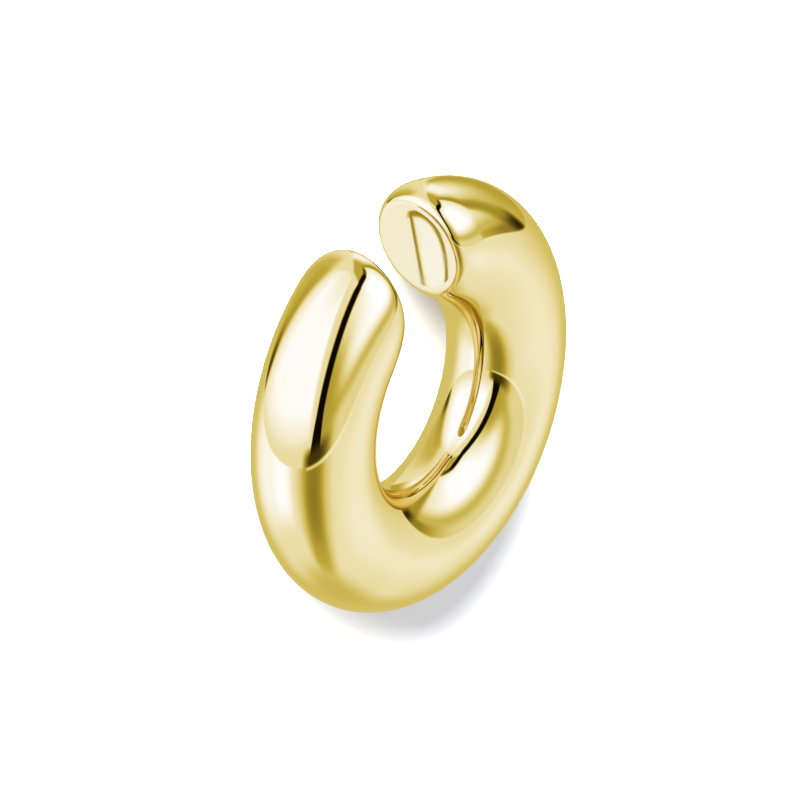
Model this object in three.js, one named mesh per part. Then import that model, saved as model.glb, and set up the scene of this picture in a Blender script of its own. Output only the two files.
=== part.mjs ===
// Open ear cuff: one heavy, mirror-polished ring of plated metal, broken by a gap that slips over the ear's rim.
// Millimetres, +Z up. The cuff lies on its side: its axis is +Z, it rests on z = 0 and its gap faces +Y.
// The origin is on the surface that it rests on, under the middle of its bounding box.

import * as THREE from "three";

// Driving dimensions
const HOLE_DIAMETER = 6.41; // round hole that the rim of the ear sits in
const BAND_THICKNESS = 4.295; // from the hole to the outside, measured along a radius
const BAND_WIDTH = 3.96; // along the cuff's axis
const GAP_WIDTH = 2.99; // between the two end faces, which are flat and parallel
const EDGE_DEPTH = 1.185; // how far back from an end face its rounded edge reaches along the band
const EDGE_INSET = 0.483; // how far in from the band's surface the rounded edge meets the end face

// Shape of the band's section: a round that is slightly fuller on the outside of the cuff
const WIDEST_SHARE = 0.486; // how far across its thickness, from the hole, the band is widest

// Finish
const GOLD = { color: new THREE.Color(0.89, 0.76, 0.38), roughness: 0.06, metalness: 1.0 };

// Facets
const SECTION_SIDES = 36; // a multiple of 4, so that a line of corners touches the surface it rests on
const ARC_STEPS = 64; // an even number, so that a ring of corners stands opposite the gap
const EDGE_STEPS = 5;

// Limits that keep a rounding inside the metal it rounds
const EDGE_SHARE_OF_SECTION = 0.9;
const EDGE_SHARE_OF_HOLE = 0.9;

const TURN = 2 * Math.PI;

/** The band's section: half-thicknesses towards the outside and the hole, half-width, and its middle's radius. */
function bandSection() {
  const inner = BAND_THICKNESS * WIDEST_SHARE;
  return {
    inner,
    outer: BAND_THICKNESS - inner,
    halfWidth: BAND_WIDTH / 2,
    middle: HOLE_DIAMETER / 2 + inner,
  };
}

/** The rounding at the ends, no larger than the section and the hole leave room for. */
function edgeSize(section) {
  const roomInSection = Math.min(section.inner, section.outer, section.halfWidth) * EDGE_SHARE_OF_SECTION;
  const roomBesideGap = (HOLE_DIAMETER / 2 - GAP_WIDTH / 2) * EDGE_SHARE_OF_HOLE;
  return { depth: Math.min(EDGE_DEPTH, roomBesideGap), inset: Math.min(EDGE_INSET, roomInSection) };
}

/** A point of the section at an angle round it, drawn in by an inset: its distance from the axis and its height. */
function sectionPoint(section, angle, inset) {
  const reach = Math.cos(angle) > 0 ? section.outer : section.inner;
  return {
    radius: section.middle + (reach - inset) * Math.cos(angle),
    height: (section.halfWidth - inset) * Math.sin(angle),
  };
}

/** The angle from the gap's middle at which a point this far from the axis lies a set way behind an end face. */
function angleBehindFace(radius, depth) {
  return Math.asin((GAP_WIDTH / 2 + depth) / radius);
}

/** A point of the cuff, from its distance to the axis, its height and its angle clockwise from the gap's middle. */
function cuffPoint(radius, height, angle) {
  return new THREE.Vector3(radius * Math.sin(angle), radius * Math.cos(angle), height);
}

/** Rings of corners over the rounded edge of one end, from its flat face back to the full section. */
function edgeRings(section, side) {
  const edge = edgeSize(section);
  return Array.from({ length: EDGE_STEPS + 1 }, (_, step) => {
    const lean = (step / EDGE_STEPS) * (Math.PI / 2);
    const depth = edge.depth * (1 - Math.cos(lean));
    const inset = edge.inset * (1 - Math.sin(lean));
    return sectionAngles().map((angle) => {
      const { radius, height } = sectionPoint(section, angle, inset);
      return cuffPoint(radius, height, side * angleBehindFace(radius, depth));
    });
  });
}

/** Rings of corners along the arc between the two rounded edges. */
function arcRings(section) {
  const { depth } = edgeSize(section);
  return Array.from({ length: ARC_STEPS - 1 }, (_, step) => {
    const share = (step + 1) / ARC_STEPS;
    return sectionAngles().map((angle) => {
      const { radius, height } = sectionPoint(section, angle, 0);
      const start = angleBehindFace(radius, depth);
      return cuffPoint(radius, height, start + (TURN - 2 * start) * share);
    });
  });
}

function sectionAngles() {
  return Array.from({ length: SECTION_SIDES }, (_, side) => (TURN * side) / SECTION_SIDES);
}

/** The average of a ring's corners, which is the middle of a flat end face. */
function middleOf(ring) {
  return ring.reduce((sum, corner) => sum.add(corner), new THREE.Vector3()).divideScalar(ring.length);
}

/** A closed skin over rings of corners, with a flat fan of triangles over the first ring and the last. */
function skinOver(rings) {
  const corners = [...rings.flat(), middleOf(rings[0]), middleOf(rings.at(-1))];
  const firstMiddle = corners.length - 2;
  const lastMiddle = corners.length - 1;
  const lastRing = (rings.length - 1) * SECTION_SIDES;
  const triangles = [];
  for (let side = 0; side < SECTION_SIDES; side += 1) {
    const next = (side + 1) % SECTION_SIDES;
    triangles.push(firstMiddle, next, side);
    triangles.push(lastMiddle, lastRing + side, lastRing + next);
    for (let start = 0; start < lastRing; start += SECTION_SIDES) {
      const ahead = start + SECTION_SIDES;
      triangles.push(start + side, start + next, ahead + next);
      triangles.push(start + side, ahead + next, ahead + side);
    }
  }
  const geometry = new THREE.BufferGeometry().setFromPoints(corners);
  geometry.setIndex(triangles);
  geometry.computeVertexNormals();
  return geometry;
}

/** The whole cuff, from the end on the right of the gap round to the end on its left. */
function cuffBand() {
  const section = bandSection();
  const geometry = skinOver([...edgeRings(section, 1), ...arcRings(section), ...edgeRings(section, -1).reverse()]);
  geometry.computeBoundingBox();
  const { min, max } = geometry.boundingBox;
  const mesh = new THREE.Mesh(geometry, new THREE.MeshStandardMaterial(GOLD));
  mesh.name = "cuff_band";
  mesh.position.set(-(min.x + max.x) / 2, -(min.y + max.y) / 2, -min.z);
  return mesh;
}

const cuff = new THREE.Group();
cuff.add(cuffBand());

export default cuff;
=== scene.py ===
"""Open ear cuff in mirror-polished pale yellow gold, lying on its side on a white table.

The cuff is one heavy band, oval in section, bent to a ring and broken by a gap between two flat end faces.
Everything that shows in its polish is the light around it, so the studio is built as carefully as the metal.
Lengths are in metres and angles in degrees, unless a name says otherwise.
"""

from __future__ import annotations

import logging
import math
from dataclasses import dataclass, field
from enum import Enum
from typing import Any, Union

import bpy
from mathutils import Matrix, Vector

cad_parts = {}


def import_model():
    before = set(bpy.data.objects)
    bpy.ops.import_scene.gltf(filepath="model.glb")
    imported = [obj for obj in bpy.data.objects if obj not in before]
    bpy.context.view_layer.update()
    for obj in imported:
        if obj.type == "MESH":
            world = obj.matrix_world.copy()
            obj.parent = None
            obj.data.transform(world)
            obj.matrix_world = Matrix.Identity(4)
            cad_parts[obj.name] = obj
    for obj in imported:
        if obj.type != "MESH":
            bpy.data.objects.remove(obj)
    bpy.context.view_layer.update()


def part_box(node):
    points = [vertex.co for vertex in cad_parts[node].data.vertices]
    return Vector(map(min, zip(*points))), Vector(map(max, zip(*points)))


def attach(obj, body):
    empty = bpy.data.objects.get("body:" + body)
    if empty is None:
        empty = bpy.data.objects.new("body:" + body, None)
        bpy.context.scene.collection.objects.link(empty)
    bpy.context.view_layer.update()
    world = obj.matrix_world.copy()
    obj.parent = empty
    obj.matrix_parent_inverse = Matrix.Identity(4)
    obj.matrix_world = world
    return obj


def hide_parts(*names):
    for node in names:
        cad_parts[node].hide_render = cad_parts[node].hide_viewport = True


LOG = logging.getLogger("ear_cuff")

MM = 0.001
BODY = "root"
BAND_NODE = "cuff_band"
GOLD_SLOT = "polished_gold"
RIM_TINT = (0.86, 0.74, 0.40)
PHOTO_SIDE = 800
SENSOR_WIDTH_MM = 36.0
FULL_TURN = 2.0 * math.pi
DEGREES_IN_RADIAN = 180.0 / math.pi

Colour = tuple[float, float, float]
Operand = Union["Signal", float, int]

# Where a soft step starts and where it ends. A step whose end is below its start goes down.
Step = tuple[float, float]

# The low and the high edge of a band, then half the width of each edge.
Edges = tuple[float, float, float, float]


def linear(red: int, green: int, blue: int) -> Colour:
    """Turns a screen colour into the light that it stands for.

    Args:
        red: Red, from 0 to 255.
        green: Green, from 0 to 255.
        blue: Blue, from 0 to 255.

    Returns:
        The linear colour, from 0 to 1.
    """
    dark_end, dark_slope, offset, power = 0.04045, 12.92, 0.055, 2.4
    shares = (channel / 255.0 for channel in (red, green, blue))
    light = (s / dark_slope if s <= dark_end else ((s + offset) / (1.0 + offset)) ** power for s in shares)
    return tuple(light)


PALE_GOLD = linear(238, 220, 158)


class Signal:
    """One number carried by a socket, which can be used in Python arithmetic."""

    def __init__(self, graph: Graph, socket: bpy.types.NodeSocket) -> None:
        """Keeps the socket and the graph it belongs to."""
        self.graph = graph
        self.socket = socket

    def math(self, operation: str, *others: Operand) -> Signal:
        """Adds a Math node whose first value is this signal.

        Args:
            operation: The Math node's operation.
            others: The node's further values.

        Returns:
            The node's result.
        """
        values = dict(enumerate((self, *others)))
        return self.graph.signal("ShaderNodeMath", {"operation": operation}, values)

    def __add__(self, other: Operand) -> Signal:
        """Sum."""
        return self.math("ADD", other)

    __radd__ = __add__

    def __sub__(self, other: Operand) -> Signal:
        """Difference."""
        return self.math("SUBTRACT", other)

    def __rsub__(self, other: Operand) -> Signal:
        """Difference from a plain number."""
        return self.math("MULTIPLY_ADD", -1.0, other)

    def __mul__(self, other: Operand) -> Signal:
        """Product."""
        return self.math("MULTIPLY", other)

    __rmul__ = __mul__

    def __truediv__(self, other: Operand) -> Signal:
        """Quotient."""
        return self.math("DIVIDE", other)

    def __rtruediv__(self, other: Operand) -> Signal:
        """A plain number divided by this signal."""
        return self.math("POWER", -1.0) * other

    def __abs__(self) -> Signal:
        """Size without its sign."""
        return self.math("ABSOLUTE")

    def clamped(self) -> Signal:
        """The signal held between 0 and 1."""
        return self.math("MINIMUM", 1.0).math("MAXIMUM", 0.0)

    def past(self, start: Operand) -> Signal:
        """How far the signal is above a value, and 0 below it."""
        return (self - start).math("MAXIMUM", 0.0)

    def squared(self) -> Signal:
        """The signal times itself."""
        return self.math("POWER", 2.0)

    def sine(self) -> Signal:
        """Sine of an angle in radians."""
        return self.math("SINE")

    def cosine(self) -> Signal:
        """Cosine of an angle in radians."""
        return self.math("COSINE")

    def rise(self, start: Operand, end: Operand) -> Signal:
        """A soft step.

        Args:
            start: Where the step starts, at 0.
            end: Where it ends, at 1. An end below the start turns the step round.

        Returns:
            A share from 0 to 1.
        """
        settings = {"interpolation_type": "SMOOTHSTEP", "clamp": True}
        if isinstance(end, (int, float)) and isinstance(start, (int, float)) and end < start:
            return 1.0 - self.rise(end, start)
        return self.graph.signal("ShaderNodeMapRange", settings, {0: self, 1: start, 2: end}, "Result")

    def between(self, low: Operand, high: Operand, low_soft: float, high_soft: float) -> Signal:
        """A band with a soft edge on each side.

        Args:
            low: The middle of its lower edge.
            high: The middle of its upper edge.
            low_soft: Half the width of the lower edge.
            high_soft: Half the width of the upper edge.

        Returns:
            1 inside the band and 0 outside.
        """
        return (self - low).rise(-low_soft, low_soft) * (self - high).rise(high_soft, -high_soft)

    def toward(self, value: Operand, share: Operand) -> Signal:
        """Moves the signal to a value by a share from 0 to 1.

        Args:
            value: The value at a share of 1.
            share: How far to go.

        Returns:
            The mixed signal.
        """
        return self + (value - self) * share


class Graph:
    """A node tree of any kind while it is being wired."""

    def __init__(self, tree: bpy.types.NodeTree) -> None:
        """Keeps the tree and empties it."""
        self.tree = tree
        self.tree.nodes.clear()

    def node(self, kind: str, settings: dict[str, Any] | None = None,
             inputs: dict[Union[str, int], Any] | None = None) -> bpy.types.Node:
        """Adds a node.

        Args:
            kind: The node's type.
            settings: Its own settings, which are set first; "stops" are a colour ramp's places and colours.
            inputs: Values or links of its sockets, by name or number.

        Returns:
            The node.
        """
        node = self.tree.nodes.new(kind)
        for name, value in (settings or {}).items():
            if name == "stops":
                self._set_stops(node.color_ramp, value)
            else:
                setattr(node, name, value)
        for name, value in (inputs or {}).items():
            self._feed(node.inputs[name], value)
        return node

    def signal(self, kind: str, settings: dict[str, Any] | None = None,
               inputs: dict[Union[str, int], Any] | None = None, output: Union[str, int] = 0) -> Signal:
        """Adds a node and reads one of its outputs as a number.

        Args:
            kind: The node's type.
            settings: Its own settings.
            inputs: Values or links of its sockets.
            output: The output that is read.

        Returns:
            The output.
        """
        return Signal(self, self.node(kind, settings, inputs).outputs[output])

    def along(self, ray: bpy.types.NodeSocket, axis: Union[Vector, tuple[float, float, float]]) -> Signal:
        """How far a direction points along an axis, from -1 to 1."""
        return self.signal("ShaderNodeVectorMath", {"operation": "DOT_PRODUCT"}, {0: ray, 1: axis}, "Value")

    def _feed(self, socket: bpy.types.NodeSocket, value: Any) -> None:
        """Links a socket, or sets its value."""
        if isinstance(value, Signal):
            self.tree.links.new(value.socket, socket)
        elif isinstance(value, bpy.types.NodeSocket):
            self.tree.links.new(value, socket)
        else:
            socket.default_value = value

    @staticmethod
    def _set_stops(ramp: bpy.types.ColorRamp, stops: list[tuple[float, Colour]]) -> None:
        """Sets a ramp's colours, which start as two stops."""
        while len(ramp.elements) < len(stops):
            ramp.elements.new(1.0)
        for element, (place, colour) in zip(ramp.elements, stops):
            element.position = place
            element.color = (*colour, 1.0)


@dataclass(frozen=True)
class PolishedGold:
    """Pale yellow gold plating with a mirror polish."""

    colour: Colour = PALE_GOLD
    warmer: Colour = linear(236, 215, 146)
    cloud_scale: float = 260.0
    cloud_detail: float = 2.0
    cloud_stops: Step = (0.35, 0.65)
    polish: float = 0.005
    handled: float = 0.014
    handled_scale: float = 420.0
    handled_detail: float = 4.0
    handled_edge: Step = (0.45, 0.75)
    hairline_scale: tuple[float, float, float] = (9.0, 900.0, 1.0)
    hairline_detail: float = 3.0
    hairline_height: float = 0.00000001
    hairline_strength: float = 0.5
    inner_turn: float = 0.5

    def material(self, centre: Vector, radii: tuple[float, float]) -> bpy.types.Material:
        """Builds the finish.

        Args:
            centre: The middle of the ring.
            radii: Where the band's inner half is fully reached, and where it starts.

        Returns:
            The material.
        """
        material = bpy.data.materials.new(GOLD_SLOT)
        material.use_nodes = True
        graph = Graph(material.node_tree)
        place = graph.node("ShaderNodeTexCoord")
        clouds = graph.signal("ShaderNodeTexNoise", {}, {
            "Vector": place.outputs["Object"], "Scale": self.cloud_scale, "Detail": self.cloud_detail})
        warm_stop, pale_stop = self.cloud_stops
        stops = [(warm_stop, self.warmer), (pale_stop, self.colour)]
        colour = graph.node("ShaderNodeValToRGB", {"stops": stops}, {"Fac": clouds})
        touched = graph.signal("ShaderNodeTexNoise", {}, {
            "Vector": place.outputs["Object"], "Scale": self.handled_scale, "Detail": self.handled_detail})
        stretched = graph.node("ShaderNodeMapping", {}, {
            "Vector": place.outputs["UV"], "Scale": self.hairline_scale})
        hairlines = graph.signal("ShaderNodeTexNoise", {}, {
            "Vector": stretched.outputs["Vector"], "Scale": 1.0, "Detail": self.hairline_detail})
        bump = graph.node("ShaderNodeBump", {}, {
            "Strength": self.hairline_strength, "Distance": self.hairline_height, "Height": hairlines,
            "Normal": self._turned(graph, place.outputs["Object"], centre, radii)})
        roughness = touched.rise(*self.handled_edge) * (self.handled - self.polish) + self.polish
        shader = graph.node("ShaderNodeBsdfPrincipled", {}, {
            "Base Color": colour.outputs["Color"], "Metallic": 1.0, "Roughness": roughness,
            "Specular Tint": (*RIM_TINT, 1.0), "Normal": bump.outputs["Normal"]})
        graph.node("ShaderNodeOutputMaterial", {}, {"Surface": shader.outputs["BSDF"]})
        return material

    def _turned(self, graph: Graph, place: bpy.types.NodeSocket, centre: Vector,
                radii: tuple[float, float]) -> bpy.types.NodeSocket:
        """The way the surface faces, turned a little to the sides of the cuff on the band's inner half.

        Args:
            graph: The material's graph.
            place: The place on the cuff.
            centre: The middle of the ring.
            radii: Where the band's inner half is fully reached, and where it starts.

        Returns:
            The direction.
        """
        offset = graph.node("ShaderNodeVectorMath", {"operation": "SUBTRACT"}, {0: place, 1: centre})
        flat = graph.node("ShaderNodeVectorMath", {"operation": "MULTIPLY"}, {
            0: offset.outputs[0], 1: (1.0, 1.0, 0.0)})
        radius = graph.signal("ShaderNodeVectorMath", {"operation": "LENGTH"}, {0: flat.outputs[0]}, "Value")
        inner, middle = radii
        share = (radius / MM).rise(middle / MM, inner / MM)
        stretch = graph.node("ShaderNodeCombineXYZ", {}, {
            "X": 1.0, "Y": 1.0, "Z": share * self.inner_turn + 1.0})
        facing = graph.node("ShaderNodeNewGeometry").outputs["Normal"]
        turned = graph.node("ShaderNodeVectorMath", {"operation": "MULTIPLY"}, {
            0: facing, 1: stretch.outputs[0]})
        unit = graph.node("ShaderNodeVectorMath", {"operation": "NORMALIZE"}, {0: turned.outputs[0]})
        return unit.outputs[0]


@dataclass(frozen=True)
class PlainTable:
    """The white table that the cuff lies on."""

    colour: Colour = (0.8, 0.8, 0.8)
    half_side: float = 1.0

    def build(self) -> None:
        """Lays a white sheet under the cuff, which the polish doesn't mirror."""
        mesh = bpy.data.meshes.new("table")
        reach = self.half_side
        corners = [(-reach, -reach, 0.0), (reach, -reach, 0.0), (reach, reach, 0.0), (-reach, reach, 0.0)]
        mesh.from_pydata(corners, [], [(0, 1, 2, 3)])
        material = bpy.data.materials.new("white_table")
        material.use_nodes = True
        graph = Graph(material.node_tree)
        shader = graph.node("ShaderNodeBsdfPrincipled", {}, {
            "Base Color": (*self.colour, 1.0), "Roughness": 1.0, "Specular IOR Level": 0.0})
        graph.node("ShaderNodeOutputMaterial", {}, {"Surface": shader.outputs["BSDF"]})
        mesh.materials.append(material)
        table = bpy.data.objects.new("table", mesh)
        table.visible_glossy = False
        bpy.context.scene.collection.objects.link(table)
        LOG.info("table: %.1f m across", 2.0 * reach)


@dataclass
class CuffBand:
    """The whole cuff: a bent band with a gap between two flat end faces with softly rounded edges."""

    hole_diameter: float = 6.41 * MM
    thickness: float = 4.295 * MM
    width: float = 3.96 * MM
    gap_width: float = 2.99 * MM
    edge_depth: float = 1.185 * MM
    edge_inset: float = 0.483 * MM
    widest_share: float = 0.486
    inner_shares: tuple[float, float] = (0.75, 0.95)
    section_sides: int = 176
    face_rings: int = 10
    edge_rings: int = 34
    arc_rings: int = 320
    merge_distance: float = 0.0000002
    finish: PolishedGold = field(default_factory=PolishedGold)

    def centre(self) -> Vector:
        """The middle of the ring, from the place of the solid that the band stands for."""
        low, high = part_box(BAND_NODE)
        outer_radius = self.hole_diameter / 2.0 + self.thickness
        return Vector(((low.x + high.x) / 2.0, low.y + outer_radius, (low.z + high.z) / 2.0))

    def inner_half(self) -> tuple[float, float]:
        """The radii where the band's inner half is fully reached and where it starts."""
        middle = self.hole_diameter / 2.0 + self.thickness * self.widest_share
        reached, start = self.inner_shares
        return reached * middle, start * middle

    def build(self) -> bpy.types.Object:
        """Makes the band and puts it in the place of its solid.

        Returns:
            The finished piece.
        """
        tree, identifiers = self._form()
        holder = bpy.data.objects.new("band_form", bpy.data.meshes.new("band_form"))
        bpy.context.scene.collection.objects.link(holder)
        modifier = holder.modifiers.new("form", "NODES")
        modifier.node_group = tree
        for name, value in self._inputs().items():
            modifier[identifiers[name]] = value
        depsgraph = bpy.context.evaluated_depsgraph_get()
        formed = holder.evaluated_get(depsgraph)
        mesh = bpy.data.meshes.new_from_object(formed, preserve_all_data_layers=True, depsgraph=depsgraph)
        mesh.name = "cuff_polished"
        bpy.data.objects.remove(holder)
        piece = bpy.data.objects.new("cuff_polished", mesh)
        bpy.context.scene.collection.objects.link(piece)
        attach(piece, BODY)
        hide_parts(BAND_NODE)
        LOG.info("%s: %d faces", piece.name, len(mesh.polygons))
        return piece

    def _inputs(self) -> dict[str, Any]:
        """The named sizes that the form is given."""
        return {
            "Ring Centre": self.centre(),
            "Hole Diameter": self.hole_diameter,
            "Band Thickness": self.thickness,
            "Band Width": self.width,
            "Gap Width": self.gap_width,
            "Edge Depth": self.edge_depth,
            "Edge Inset": self.edge_inset,
            "Widest Share": self.widest_share,
            "Section Sides": self.section_sides,
            "Face Rings": self.face_rings,
            "Edge Rings": self.edge_rings,
            "Arc Rings": self.arc_rings,
            "Finish": self.finish.material(self.centre(), self.inner_half()),
        }

    @staticmethod
    def _sockets(tree: bpy.types.NodeTree) -> dict[str, str]:
        """Gives the form its named inputs.

        Args:
            tree: The form's tree.

        Returns:
            Each input's identifier, by its name.
        """
        kinds = {"Ring Centre": "NodeSocketVector", "Finish": "NodeSocketMaterial"}
        counts = ("Section Sides", "Face Rings", "Edge Rings", "Arc Rings")
        sizes = ("Hole Diameter", "Band Thickness", "Band Width", "Gap Width", "Edge Depth", "Edge Inset",
                 "Widest Share")
        kinds.update({name: "NodeSocketInt" for name in counts})
        kinds.update({name: "NodeSocketFloat" for name in sizes})
        tree.interface.new_socket(name="Geometry", in_out="OUTPUT", socket_type="NodeSocketGeometry")
        return {name: tree.interface.new_socket(name=name, in_out="INPUT", socket_type=kind).identifier
                for name, kind in kinds.items()}

    def _form(self) -> tuple[bpy.types.NodeTree, dict[str, str]]:
        """Wires the rule that the band follows, on a grid that goes round the section and along the band.

        Returns:
            The tree, and the identifiers of its inputs.
        """
        tree = bpy.data.node_groups.new("cuff_band_form", "GeometryNodeTree")
        identifiers = self._sockets(tree)
        graph = Graph(tree)
        given = graph.node("NodeGroupInput")
        size = {name: Signal(graph, given.outputs[name]) for name in identifiers}
        half_rings = size["Face Rings"] + size["Edge Rings"] + size["Arc Rings"] / 2.0
        grid = graph.node("GeometryNodeMeshGrid", {}, {
            "Size X": 1.0, "Size Y": 1.0, "Vertices X": size["Section Sides"] + 1.0,
            "Vertices Y": half_rings * 2.0 + 1.0})
        mapped = graph.node("GeometryNodeStoreNamedAttribute", {"data_type": "FLOAT2", "domain": "CORNER"}, {
            "Geometry": grid.outputs["Mesh"], "Name": "UVMap", "Value": grid.outputs["UV Map"]})
        position = graph.node("GeometryNodeInputPosition").outputs[0]
        spot = graph.node("ShaderNodeSeparateXYZ", {}, {0: position})
        along = Signal(graph, spot.outputs["Y"]) * 2.0
        around = Signal(graph, spot.outputs["X"]) * FULL_TURN
        ring = ((1.0 - abs(along)) * half_rings).math("ROUND")
        set_back, drawn_in, face_share, arc_share = self._ring_rule(size, ring)
        offset = self._corner(size, around, along, (set_back, drawn_in, face_share, arc_share))
        moved = graph.node("GeometryNodeSetPosition", {}, {
            "Geometry": mapped.outputs["Geometry"], "Position": offset})
        closed = graph.node("GeometryNodeMergeByDistance", {}, {
            "Geometry": moved.outputs["Geometry"], "Distance": self.merge_distance})
        smooth = graph.node("GeometryNodeSetShadeSmooth", {}, {"Geometry": closed.outputs["Geometry"]})
        realized = graph.node("GeometryNodeRealizeInstances", {}, {"Geometry": smooth.outputs["Geometry"]})
        dressed = graph.node("GeometryNodeSetMaterial", {}, {
            "Geometry": realized.outputs["Geometry"], "Material": given.outputs["Finish"]})
        graph.node("NodeGroupOutput", {}, {"Geometry": dressed.outputs["Geometry"]})
        return tree, identifiers

    @staticmethod
    def _ring_rule(size: dict[str, Signal], ring: Signal) -> tuple[Signal, Signal, Signal, Signal]:
        """What a ring of corners is, from its number counted from the nearer end.

        Args:
            size: The form's inputs.
            ring: The ring's number, 0 at the middle of the end face.

        Returns:
            How far it is set back from the end face, how far it is drawn in from the full section, how
            much of the flat face it spans, and its share of the way to the point opposite the gap.
        """
        share_of_room = 0.9
        room_beside_gap = (size["Hole Diameter"] - size["Gap Width"]) * (share_of_room / 2.0)
        depth = size["Edge Depth"].math("MINIMUM", room_beside_gap)
        inset = size["Edge Inset"].math("MINIMUM", size["Band Width"] * (share_of_room / 2.0))
        face_share = (ring / size["Face Rings"]).clamped()
        past_face = ring - size["Face Rings"]
        lean = (past_face / size["Edge Rings"]).clamped() * (FULL_TURN / 4.0)
        arc_share = ((past_face - size["Edge Rings"]) / (size["Arc Rings"] / 2.0)).clamped()
        return depth * (1.0 - lean.cosine()), inset * (1.0 - lean.sine()), face_share, arc_share

    @staticmethod
    def _corner(size: dict[str, Signal], around: Signal, along: Signal,
                ring: tuple[Signal, Signal, Signal, Signal]) -> bpy.types.NodeSocket:
        """Where a corner goes.

        Args:
            size: The form's inputs.
            around: The corner's angle round the section, 0 at the outside of the cuff.
            along: Its place along the band, from -1 at one end to 1 at the other.
            ring: What the ring of corners is: set back, drawn in, share of the face and share of the arc.

        Returns:
            The corner's position.
        """
        set_back, drawn_in, face_share, arc_share = ring
        graph = around.graph
        inner = size["Band Thickness"] * size["Widest Share"]
        outer = size["Band Thickness"] - inner
        outward = around.cosine().math("GREATER_THAN", 0.0)
        reach = inner + (outer - inner) * outward - drawn_in
        radius = size["Hole Diameter"] / 2.0 + inner + reach * face_share * around.cosine()
        height = (size["Band Width"] / 2.0 - drawn_in) * face_share * around.sine()
        start = ((size["Gap Width"] / 2.0 + set_back) / radius).math("ARCSINE")
        angle = start + (math.pi - start) * arc_share
        side = along.math("SIGN")
        local = graph.node("ShaderNodeCombineXYZ", {}, {
            "X": radius * angle.sine() * side, "Y": radius * angle.cosine(), "Z": height})
        placed = graph.node("ShaderNodeVectorMath", {"operation": "ADD"}, {
            0: local.outputs[0], 1: size["Ring Centre"]})
        return placed.outputs[0]


@dataclass(frozen=True)
class PhotoCamera:
    """A long lens that looks at the cuff from the side of its gap, a third of the way up."""

    direction: tuple[float, float, float] = (-0.59106, 0.60385, 0.53480)
    right: tuple[float, float, float] = (0.58781, -0.13159, 0.79823)
    distance: float = 0.18274
    lens_mm: float = 247.33
    target_pixel: tuple[float, float] = (411.75, 394.90)
    nearest: float = 0.01
    farthest: float = 10.0

    def axes(self) -> tuple[Vector, Vector, Vector]:
        """The directions from the cuff to the camera, to the picture's right and to its top."""
        back = Vector(self.direction).normalized()
        right = Vector(self.right)
        right = (right - back * right.dot(back)).normalized()
        return back, right, back.cross(right)

    def build(self, centre: Vector) -> None:
        """Sets the camera up.

        Args:
            centre: The middle of the ring, which falls on the target pixel.
        """
        back, right, up = self.axes()
        rows = (right, up, back)
        data = bpy.data.cameras.new("camera")
        data.sensor_width = SENSOR_WIDTH_MM
        data.lens = self.lens_mm
        data.clip_start = self.nearest
        data.clip_end = self.farthest
        data.shift_x = (PHOTO_SIDE / 2.0 - self.target_pixel[0]) / PHOTO_SIDE
        data.shift_y = (self.target_pixel[1] - PHOTO_SIDE / 2.0) / PHOTO_SIDE
        camera = bpy.data.objects.new("camera", data)
        turned = Matrix(rows).transposed().to_4x4()
        camera.matrix_world = Matrix.Translation(centre + back * self.distance) @ turned
        bpy.context.scene.collection.objects.link(camera)
        bpy.context.scene.camera = camera
        LOG.info("camera: %.0f mm lens, %.0f mm away", self.lens_mm, self.distance / MM)


class Tone(Enum):
    """How bright a part of the studio looks in the gold, from its black gaps to its lamps."""

    BLACK = 0.0
    UMBER = 0.14
    BROWN = 0.27
    OLIVE = 0.42
    BRONZE = 0.53
    GOLD = 0.63
    STRAW = 0.72
    CREAM = 0.82
    PALE = 0.9
    LAMP = 1.0


@dataclass(frozen=True)
class Patch:
    """One area of the studio with soft edges.

    It is given by its edges as seen from the cuff: turned to the right from the front, and up from level.
    """

    left: float
    right: float
    bottom: float
    top: float
    left_soft: float
    right_soft: float
    bottom_soft: float
    top_soft: float
    tone: float

    def share(self, turn: Signal, level: Signal) -> Signal:
        """How far the patch covers a direction.

        Args:
            turn: How far the direction is turned to the right, in degrees.
            level: How far it points up, in degrees.

        Returns:
            A share from 0 to 1.
        """
        across = turn.between(self.left, self.right, self.left_soft, self.right_soft)
        return across * level.between(self.bottom, self.top, self.bottom_soft, self.top_soft)

    def over(self, tone: Signal, heading: Heading) -> Signal:
        """Paints the patch.

        Args:
            tone: What is under it.
            heading: The direction.

        Returns:
            The tone with the patch on it.
        """
        return tone.toward(self.tone, self.share(heading.turn, heading.level))


@dataclass(frozen=True)
class Heading:
    """A direction in the studio, by its two angles and on a flat chart with its top in the middle.

    The angles say how far it is turned to the right and how far it points up, in degrees. On the chart it
    lies across to the side and ahead to the front.
    """

    turn: Signal
    level: Signal
    across: Signal
    ahead: Signal


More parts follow.
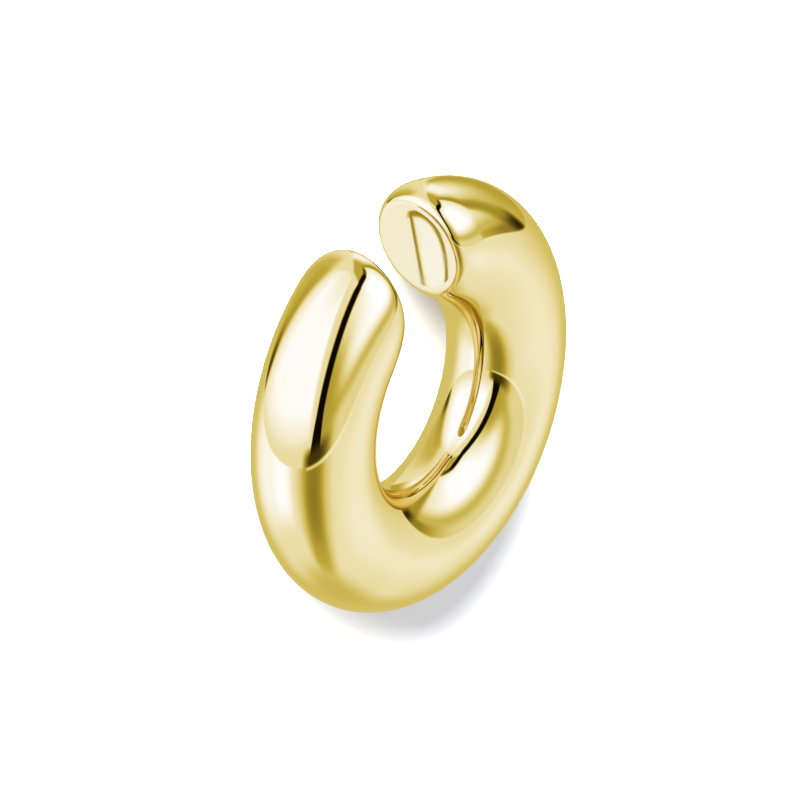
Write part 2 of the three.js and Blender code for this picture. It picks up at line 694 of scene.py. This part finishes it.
@dataclass(frozen=True)
class DarkGap:
    """The dark gap between the light tents, which runs up, over the right one and down behind it.

    Its lengths are those of the flat chart. A bend and the wider front say where they start and how fast they
    grow, and turns are in degrees.
    """

    side: float = 0.15
    end: float = 0.06
    front_bend: tuple[float, float] = (0.35, 0.075)
    back_bend: tuple[float, float] = (0.211, 0.41)
    half_width: float = 0.036
    spread: float = 0.062
    wider_front: tuple[float, float] = (0.9, 0.15)
    edge: Step = (0.022, -0.016)
    lintel_reach: float = 0.227
    lintel_edge: Step = (0.052, 0.012)
    lintel_turns: Edges = (41.0, 124.0, 6.0, 12.0)
    lintel_fade: Step = (60.0, 130.0)
    lintel_tones: tuple[float, float] = (0.04, 0.40)
    foot: Patch = Patch(-6.0, 28.0, -30.0, -9.0, 9.0, 12.0, 2.0, 3.5, 0.19)

    def over(self, tone: Signal, heading: Heading) -> Signal:
        """Paints the gap.

        Args:
            tone: The walls and light tents.
            heading: The direction.

        Returns:
            The tone with the gap.
        """
        across, ahead = heading.across, heading.ahead
        from_top = (across * across + ahead * ahead).math("SQRT")
        lintel = abs(from_top - self.lintel_reach).rise(*self.lintel_edge)
        darkest, palest = self.lintel_tones
        lintel_tone = heading.turn.rise(*self.lintel_fade) * (palest - darkest) + darkest
        tone = tone.toward(lintel_tone, lintel * heading.turn.between(*self.lintel_turns))
        front, front_slope = self.front_bend
        back, back_slope = self.back_bend
        middle = ahead.past(front) * front_slope + (back - ahead).past(0.0) * back_slope + self.side
        off = ((across - middle).squared() + (self.end - ahead).past(0.0).squared()).math("SQRT")
        wider, wider_slope = self.wider_front
        half = ahead * ahead * self.spread + self.half_width + ahead.past(wider) * wider_slope
        tone = tone.toward(Tone.BLACK.value, (off - half).rise(*self.edge))
        return self.foot.over(tone, heading)


@dataclass(frozen=True)
class EndFacePaintedReflection:
    """A painted reflection of a thin post and a hoop far off on the left, which only the flat end face shows.

    They are painted into the studio's light and given by the columns and rows of the picture in which the end
    face shows them at a size that reads. Between them is a paler panel.
    """

    tone: float = 0.5
    panel_tone: float = 0.92
    post_foot: tuple[float, float] = (408.0, 213.0)
    post_lean: float = 0.18
    post_width: Edges = (0.8, 4.0, 0.7, 1.6)
    post_rows: Edges = (212.0, 300.0, 1.5, 3.0)
    hoop_middle: tuple[float, float] = (414.5, 275.0)
    hoop_reach: tuple[float, float] = (33.0, 63.5)
    hoop_width: Edges = (-2.6, 0.6, 1.2, 0.8)
    hoop_start: Step = (405.0, 411.0)
    hoop_rows: Edges = (206.0, 293.0, 2.0, 4.0)
    panel_rim: Step = (0.0, -4.0)
    panel_start: Step = (4.0, 10.0)
    face_columns: Edges = (370.0, 470.0, 2.0, 2.0)
    face_rows: Edges = (190.0, 310.0, 2.0, 2.0)
    least_depth: float = 0.5

    def over(self, tone: Signal, ray: bpy.types.NodeSocket, camera: PhotoCamera) -> Signal:
        """Paints the reflection of the post, the hoop and the panel into the studio's light.

        Args:
            tone: The rest of the studio.
            ray: The direction.
            camera: The camera, which sees them in the end face.

        Returns:
            The tone with the painted reflection.
        """
        back, right, up = camera.axes()
        flipped = [Vector((-axis.x, axis.y, axis.z)) for axis in (-back, right, up)]
        depth, across, height = (tone.graph.along(ray, axis) for axis in flipped)
        reach = camera.lens_mm / SENSOR_WIDTH_MM * PHOTO_SIDE
        middle_column, middle_row = camera.target_pixel
        column = across / depth * reach + middle_column
        row = middle_row - height / depth * reach
        foot_column, foot_row = self.post_foot
        past_post = (column - foot_column) - (row - foot_row) * self.post_lean
        post = past_post.between(*self.post_width) * row.between(*self.post_rows)
        hoop_column, hoop_row = self.hoop_middle
        half_width, half_height = self.hoop_reach
        ring = ((column - hoop_column) / half_width).squared() + ((row - hoop_row) / half_height).squared()
        past_rim = (ring.math("SQRT") - 1.0) * half_width
        hoop = past_rim.between(*self.hoop_width) * column.rise(*self.hoop_start)
        hoop = hoop * row.between(*self.hoop_rows)
        panel = past_rim.rise(*self.panel_rim) * past_post.rise(*self.panel_start)
        on_face = column.between(*self.face_columns) * row.between(*self.face_rows)
        on_face = on_face * depth.math("GREATER_THAN", self.least_depth)
        tone = tone.toward(self.panel_tone, panel * on_face)
        return tone.toward(self.tone, post.math("MAXIMUM", hoop) * on_face)


@dataclass(frozen=True)
class Studio:
    """The light tents, gaps and table that the polish mirrors, and the soft light on the table."""

    lean: float = 7.61
    backdrop: float = 1.05
    sky: float = 0.8
    sun_power: float = 44.0
    sun_angle: float = 42.0
    sun_elevation: float = 11.0
    sun_heading: float = 113.0

    tones: tuple[tuple[Tone, tuple[int, int, int]], ...] = (
        (Tone.BLACK, (14, 8, 3)),
        (Tone.UMBER, (49, 38, 7)),
        (Tone.BROWN, (88, 72, 17)),
        (Tone.OLIVE, (132, 112, 33)),
        (Tone.BRONZE, (163, 140, 44)),
        (Tone.GOLD, (193, 168, 60)),
        (Tone.STRAW, (217, 198, 112)),
        (Tone.CREAM, (236, 223, 172)),
        (Tone.PALE, (246, 239, 214)),
        (Tone.LAMP, (255, 255, 255)),
    )

    walls: tuple[Patch, ...] = (
        Patch(-120.0, -1.0, -4.0, 84.0, 9.0, 4.0, 5.0, 8.0, 0.88),
        Patch(-108.0, -3.0, 4.0, 68.0, 13.0, 3.0, 9.0, 12.0, 0.99),
        Patch(20.0, 124.0, 4.0, 68.0, 8.0, 9.0, 12.0, 4.0, 0.86),
        Patch(12.0, 36.0, -30.0, 30.0, 6.0, 14.0, 6.0, 18.0, 0.58),
        Patch(46.0, 106.0, 9.0, 56.0, 16.0, 16.0, 10.0, 12.0, 1.0),
        Patch(34.0, 118.0, -30.0, -4.0, 14.0, 8.0, 2.0, 5.0, 0.77),
        Patch(126.0, 146.0, -30.0, 18.0, 8.0, 14.0, 6.0, 16.0, 0.66),
        Patch(-160.0, -123.0, -30.0, 52.0, 14.0, 6.0, 6.0, 12.0, 0.65),
        Patch(-136.0, -126.0, -30.0, 30.0, 8.0, 4.0, 6.0, 24.0, 0.56),
        Patch(138.0, 177.0, 14.0, 54.0, 16.0, 8.0, 16.0, 12.0, 0.93),
        Patch(106.0, 132.0, -30.0, -5.0, 12.0, 5.0, 2.0, 3.0, 0.46),
        Patch(123.0, 133.0, -30.0, -1.0, 5.0, 4.0, 2.0, 5.0, 0.12),
        Patch(-133.0, -124.0, -30.0, 2.0, 6.0, 5.0, 2.0, 6.0, 0.18),
        Patch(122.0, 132.0, -4.0, 62.0, 4.0, 5.0, 6.0, 6.0, 0.53),
    )
    wall_line: tuple[float, float, float] = (0.03, 0.55, 0.14)
    wall_line_soft: Step = (-0.02, 0.04)
    wall_tones: tuple[float, float] = (0.81, 0.60)

    floor: tuple[Patch, ...] = (
        Patch(-112.0, -34.0, -42.0, 20.0, 24.0, 10.0, 12.0, 2.0, 0.94),
        Patch(-68.0, -40.0, -38.0, 20.0, 12.0, 10.0, 8.0, 2.0, 1.0),
        Patch(60.0, 112.0, -46.0, -24.0, 24.0, 24.0, 14.0, 8.0, 0.88),
        Patch(-15.0, 30.0, -76.0, -14.0, 14.0, 16.0, 12.0, 3.0, 0.61),
        Patch(-4.0, 20.0, -50.0, 20.0, 9.0, 10.0, 16.0, 2.0, 0.46),
    )

    floor_middle: float = 5.0
    floor_fade: Step = (95.0, 150.0)
    floor_tones: tuple[float, float] = (0.82, 0.70)
    nadir_fade: Step = (-60.0, -84.0)
    nadir_tone: float = 0.67

    horizon_level: float = -7.5
    horizon_soft: float = 0.8
    front_fade: Step = (-150.0, 0.0)
    front_drop: float = 8.0
    right_fade: Step = (55.0, 115.0)
    right_lift: float = 4.0
    glint: Patch = Patch(-4.0, 62.0, -2.0, -0.6, 4.0, 20.0, 0.9, 0.5, 0.9)
    glint_strength: float = 0.7

    gap: DarkGap = DarkGap()
    # A painted reflection of a post, a hoop and a panel, which only the flat end face shows.
    end_face_reflection: EndFacePaintedReflection = EndFacePaintedReflection()

    def build(self, camera: PhotoCamera) -> None:
        """Paints the studio and hangs the lamp.

        Args:
            camera: The camera, whose side of the cuff is the studio's front.
        """
        world = bpy.data.worlds.new("studio")
        world.use_nodes = True
        bpy.context.scene.world = world
        graph = Graph(world.node_tree)
        ray = graph.node("ShaderNodeTexCoord").outputs["Generated"]
        tone = self._paint(graph, ray, camera)
        ramp = graph.node("ShaderNodeValToRGB", {"stops": self._stops()}, {"Fac": tone})
        light = graph.node("ShaderNodeVectorMath", {"operation": "DIVIDE"}, {
            0: ramp.outputs["Color"], 1: self._shine(graph, ray, camera)})
        mirrored = graph.node("ShaderNodeBackground", {}, {"Color": light.outputs[0], "Strength": 1.0})
        plain, soft = (graph.node("ShaderNodeBackground", {}, {
            "Strength": strength, "Color": (1.0, 1.0, 1.0, 1.0)}) for strength in (self.backdrop, self.sky))
        path = graph.node("ShaderNodeLightPath")
        on_table = graph.node("ShaderNodeMixShader", {}, {
            0: path.outputs["Is Diffuse Ray"], 1: mirrored.outputs[0], 2: soft.outputs[0]})
        seen = graph.node("ShaderNodeMixShader", {}, {
            0: path.outputs["Is Camera Ray"], 1: on_table.outputs[0], 2: plain.outputs[0]})
        graph.node("ShaderNodeOutputWorld", {}, {"Surface": seen.outputs[0]})
        self._hang_lamp()
        scene = bpy.context.scene
        scene.view_settings.view_transform = "Standard"
        scene.view_settings.look = "None"
        LOG.info("studio: painted with %d tones", len(self.tones))

    def _stops(self) -> list[tuple[float, Colour]]:
        """The ramp from tone to the colour that the gold shows."""
        return [(tone.value, linear(*shade)) for tone, shade in self.tones]

    def _shine(self, graph: Graph, ray: bpy.types.NodeSocket, camera: PhotoCamera) -> bpy.types.NodeSocket:
        """How much of each colour the gold throws back where it mirrors a direction, more towards its rims.

        Args:
            graph: The world's graph.
            ray: The direction.
            camera: The camera that the light goes to.

        Returns:
            The share of each colour.
        """
        rim_power = 5
        facing = graph.along(ray, camera.direction)
        steepness = ((facing + 1.0) / 2.0).math("MAXIMUM", 0.0).math("SQRT")
        rim = (1.0 - steepness).math("POWER", rim_power)
        untinted = graph.node("ShaderNodeMix", {"data_type": "RGBA"}, {
            "Factor": rim, 6: (*PALE_GOLD, 1.0), 7: (1.0, 1.0, 1.0, 1.0)})
        tint_place = 1.0 / 7.0
        tint_rim = (1.0 - tint_place) ** rim_power
        deepest = tint_place * (1.0 - tint_place) * tint_rim
        lost = tuple((face + (1.0 - face) * tint_rim) * (tint - 1.0) / deepest
                     for face, tint in zip(PALE_GOLD, RIM_TINT))
        dip = rim * (1.0 - steepness) * steepness
        shine = graph.node("ShaderNodeVectorMath", {"operation": "MULTIPLY_ADD"}, {
            0: lost, 1: dip.socket, 2: untinted.outputs[2]})
        return shine.outputs[0]

    def _directions(self, graph: Graph, ray: bpy.types.NodeSocket,
                    camera: PhotoCamera) -> tuple[Signal, Signal, Signal]:
        """How far a direction points to the studio's side, front and top.

        Args:
            graph: The world's graph.
            ray: The direction.
            camera: The camera, which gives the front.

        Returns:
            The three shares, from -1 to 1.
        """
        lean = math.radians(self.lean)
        top = Vector((math.sin(lean), math.cos(lean), 0.0))
        front = Vector(camera.direction)
        front = (front - top * front.dot(top)).normalized()
        return tuple(graph.along(ray, axis) for axis in (top.cross(front), front, top))

    def _paint(self, graph: Graph, ray: bpy.types.NodeSocket, camera: PhotoCamera) -> Signal:
        """Paints the tones of the studio over the sphere of directions.

        Args:
            graph: The world's graph.
            ray: The direction.
            camera: The camera, which gives the front.

        Returns:
            The tone.
        """
        side, front, top = self._directions(graph, ray, camera)
        turn = side.math("ARCTAN2", front) * DEGREES_IN_RADIAN
        level = top.math("MINIMUM", 1.0).math("ARCSINE") * DEGREES_IN_RADIAN
        heading = Heading(turn, level, side / (top + 1.0), front / (top + 1.0))
        above = self.gap.over(self._walls(heading), heading)
        over_horizon = level - self._horizon(turn)
        tone = self._floor(heading).toward(above, over_horizon.rise(-self.horizon_soft, self.horizon_soft))
        glint = self.glint.share(turn, over_horizon) * self.glint_strength
        # The painted reflection for the flat end face goes on last.
        return self.end_face_reflection.over(tone.toward(self.glint.tone, glint), ray, camera)

    def _horizon(self, turn: Signal) -> Signal:
        """The level of the edge between the walls and the floor, by how far it is to the side."""
        lift = turn.rise(*self.right_fade) * self.right_lift
        return lift - turn.rise(*self.front_fade) * self.front_drop + self.horizon_level

    def _walls(self, heading: Heading) -> Signal:
        """The walls and light tents over the horizon.

        Args:
            heading: The direction.

        Returns:
            The tone.
        """
        start, slope, limit = self.wall_line
        line = (heading.ahead.past(0.0) * slope + start).math("MINIMUM", limit)
        left_tone, right_tone = self.wall_tones
        tone = (heading.across - line).rise(*self.wall_line_soft) * (right_tone - left_tone) + left_tone
        for wall in self.walls:
            tone = wall.over(tone, heading)
        return tone

    def _floor(self, heading: Heading) -> Signal:
        """The studio's pale floor, with the shade of the camera on it.

        Args:
            heading: The direction.

        Returns:
            The tone.
        """
        middle_tone, side_tone = self.floor_tones
        fade = abs(heading.turn - self.floor_middle).rise(*self.floor_fade)
        tone = fade * (side_tone - middle_tone) + middle_tone
        for patch in self.floor:
            tone = patch.over(tone, heading)
        return tone.toward(self.nadir_tone, heading.level.rise(*self.nadir_fade))

    def _hang_lamp(self) -> None:
        """Hangs the lamp that throws the cuff's soft shadow on the table. The gold doesn't mirror it."""
        data = bpy.data.lights.new("lamp", "SUN")
        data.energy = self.sun_power
        data.angle = math.radians(self.sun_angle)
        lamp = bpy.data.objects.new("lamp", data)
        heading, height = math.radians(self.sun_heading), math.radians(self.sun_elevation)
        towards = Vector((math.cos(heading) * math.cos(height), math.sin(heading) * math.cos(height),
                          math.sin(height)))
        lamp.rotation_euler = towards.to_track_quat("Z", "Y").to_euler()
        lamp.visible_glossy = False
        bpy.context.scene.collection.objects.link(lamp)
        LOG.info("lamp: %.0f degrees up", self.sun_elevation)


def main() -> None:
    """Builds the cuff, the camera, the studio and the table."""
    logging.basicConfig(level=logging.INFO, format="%(name)s %(message)s")
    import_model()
    band = CuffBand()
    band.build()
    camera = PhotoCamera()
    camera.build(band.centre())
    Studio().build(camera)
    PlainTable().build()


if __name__ == "__main__":
    main()
